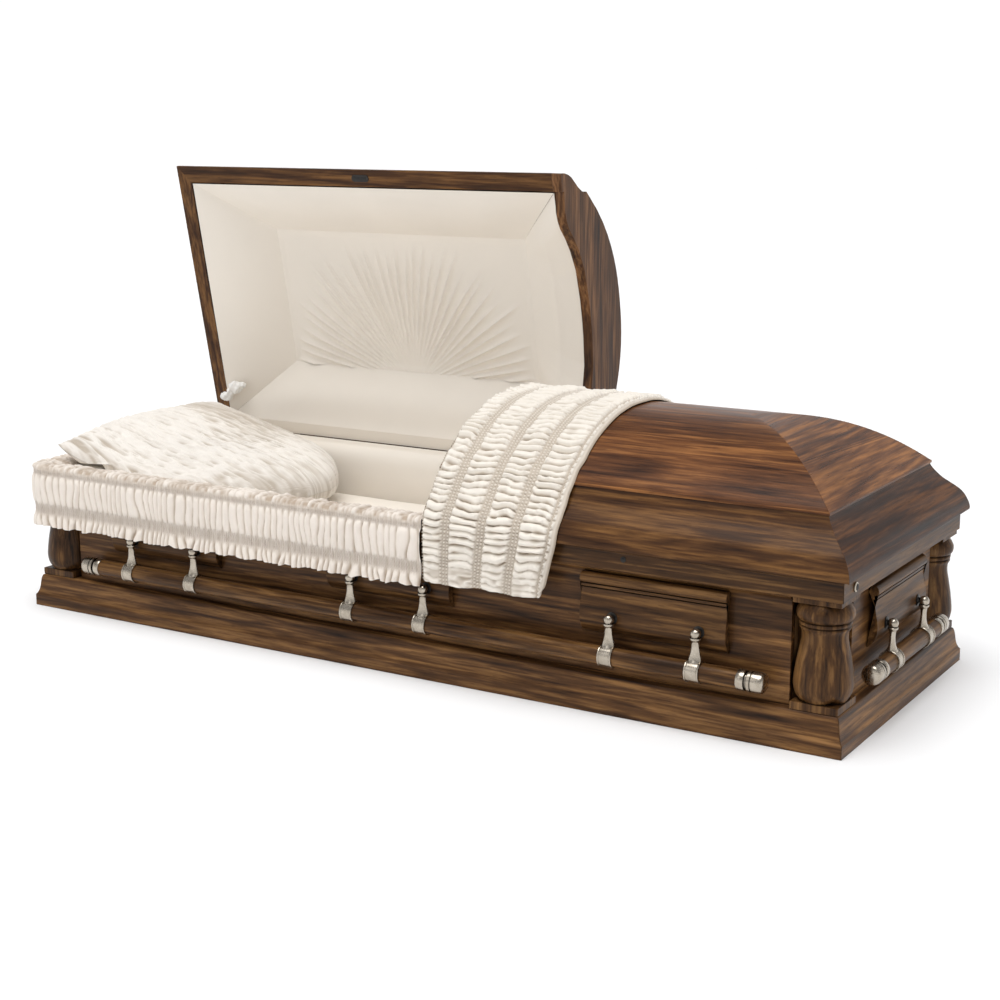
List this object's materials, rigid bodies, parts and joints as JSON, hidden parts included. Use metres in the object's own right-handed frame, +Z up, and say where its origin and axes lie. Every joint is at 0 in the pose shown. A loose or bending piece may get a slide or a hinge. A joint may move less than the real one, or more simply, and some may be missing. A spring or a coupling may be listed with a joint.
{
  "type": "wooden coffin",
  "caption": "Full-size wooden coffin with a half-open domed lid, turned corner urns, swing-bar handles, a shirred cloth lining, pillow, skirt and throw.",
  "frame": {"origin": "centre of the underside, on the floor it stands on", "axes": "+X along the length towards the foot end, +Y towards the hinged back, +Z up"},
  "size_m": [2.1702, 0.9283, 1.069],
  "materials": {
    "body_walnut": "satin dark walnut stain",
    "crown_walnut": "satin red-brown walnut stain, long grain",
    "urn_walnut": "satin dark walnut stain, upright grain",
    "antique_nickel": "aged nickel plate",
    "black_steel": "black oxide",
    "ivory_lining": "smooth ivory crepe",
    "shirred_cloth": "shirred ivory crepe"
  },
  "bodies": {
    "root": {"base_front": "body_walnut", "base_back": "body_walnut", "base_head": "body_walnut", "base_foot": "body_walnut", "bottom_board": "body_walnut", "panel_front": "body_walnut", "panel_back": "body_walnut", "panel_head": "body_walnut", "panel_foot": "body_walnut", "post_front_head": "body_walnut", "post_front_foot": "body_walnut", "post_back_head": "body_walnut", "post_back_foot": "body_walnut", "rail_front": "body_walnut", "rail_back": "body_walnut", "rail_head": "body_walnut", "rail_foot": "body_walnut", "urn_front_head": "urn_walnut", "urn_front_foot": "urn_walnut", "urn_back_head": "urn_walnut", "urn_back_foot": "urn_walnut", "plaque_front_left": "body_walnut", "plaque_front_middle": "body_walnut", "plaque_front_right": "body_walnut", "plaque_back_left": "body_walnut", "plaque_back_middle": "body_walnut", "plaque_back_right": "body_walnut", "plaque_head": "body_walnut", "plaque_foot": "body_walnut", "skirt": "shirred_cloth", "pillow": "shirred_cloth", "mattress": "ivory_lining", "bed_board": "body_walnut", "body_lining": "ivory_lining", "hinge_1": "antique_nickel", "hinge_2": "antique_nickel", "hinge_3": "antique_nickel", "hinge_4": "antique_nickel", "keyhole_plate": "black_steel", "rail_plug": "antique_nickel"},
    "head_lid": {"head_lid_moulding": "body_walnut", "head_lid_crown": "crown_walnut", "head_lid_header": "urn_walnut", "head_lid_lining": "ivory_lining", "latch_plate": "black_steel", "lid_stay_plate": "black_steel"},
    "foot_lid": {"foot_lid_moulding": "body_walnut", "foot_lid_crown": "crown_walnut", "foot_lid_header": "urn_walnut", "foot_lid_lining": "ivory_lining", "throw": "shirred_cloth"},
    "handle_front": {"handle_front": "antique_nickel"},
    "handle_back": {"handle_back": "antique_nickel"},
    "handle_head": {"handle_head": "antique_nickel"},
    "handle_foot": {"handle_foot": "antique_nickel"}
  },
  "joints": [
    {"name": "head_lid_hinge", "type": "hinge", "parent": "root", "child": "head_lid", "pos_m": [0, 0.362, 0.345], "axis": [-1, 0, 0], "range_deg": [-78.7, 0]},
    {"name": "foot_lid_hinge", "type": "hinge", "parent": "root", "child": "foot_lid", "pos_m": [0, 0.362, 0.345], "axis": [-1, 0, 0], "range_deg": [0, 78.7]},
    {"name": "front_handle_swing", "type": "hinge", "parent": "root", "child": "handle_front", "pos_m": [0, -0.3695, 0.2035], "axis": [-1, 0, 0], "range_deg": [0, 70]},
    {"name": "back_handle_swing", "type": "hinge", "parent": "root", "child": "handle_back", "pos_m": [0, 0.3695, 0.2035], "axis": [1, 0, 0], "range_deg": [0, 70]},
    {"name": "head_handle_swing", "type": "hinge", "parent": "root", "child": "handle_head", "pos_m": [-1.063, 0, 0.2035], "axis": [0, 1, 0], "range_deg": [0, 70]},
    {"name": "foot_handle_swing", "type": "hinge", "parent": "root", "child": "handle_foot", "pos_m": [1.063, 0, 0.2035], "axis": [0, -1, 0], "range_deg": [0, 70]}
  ]
}
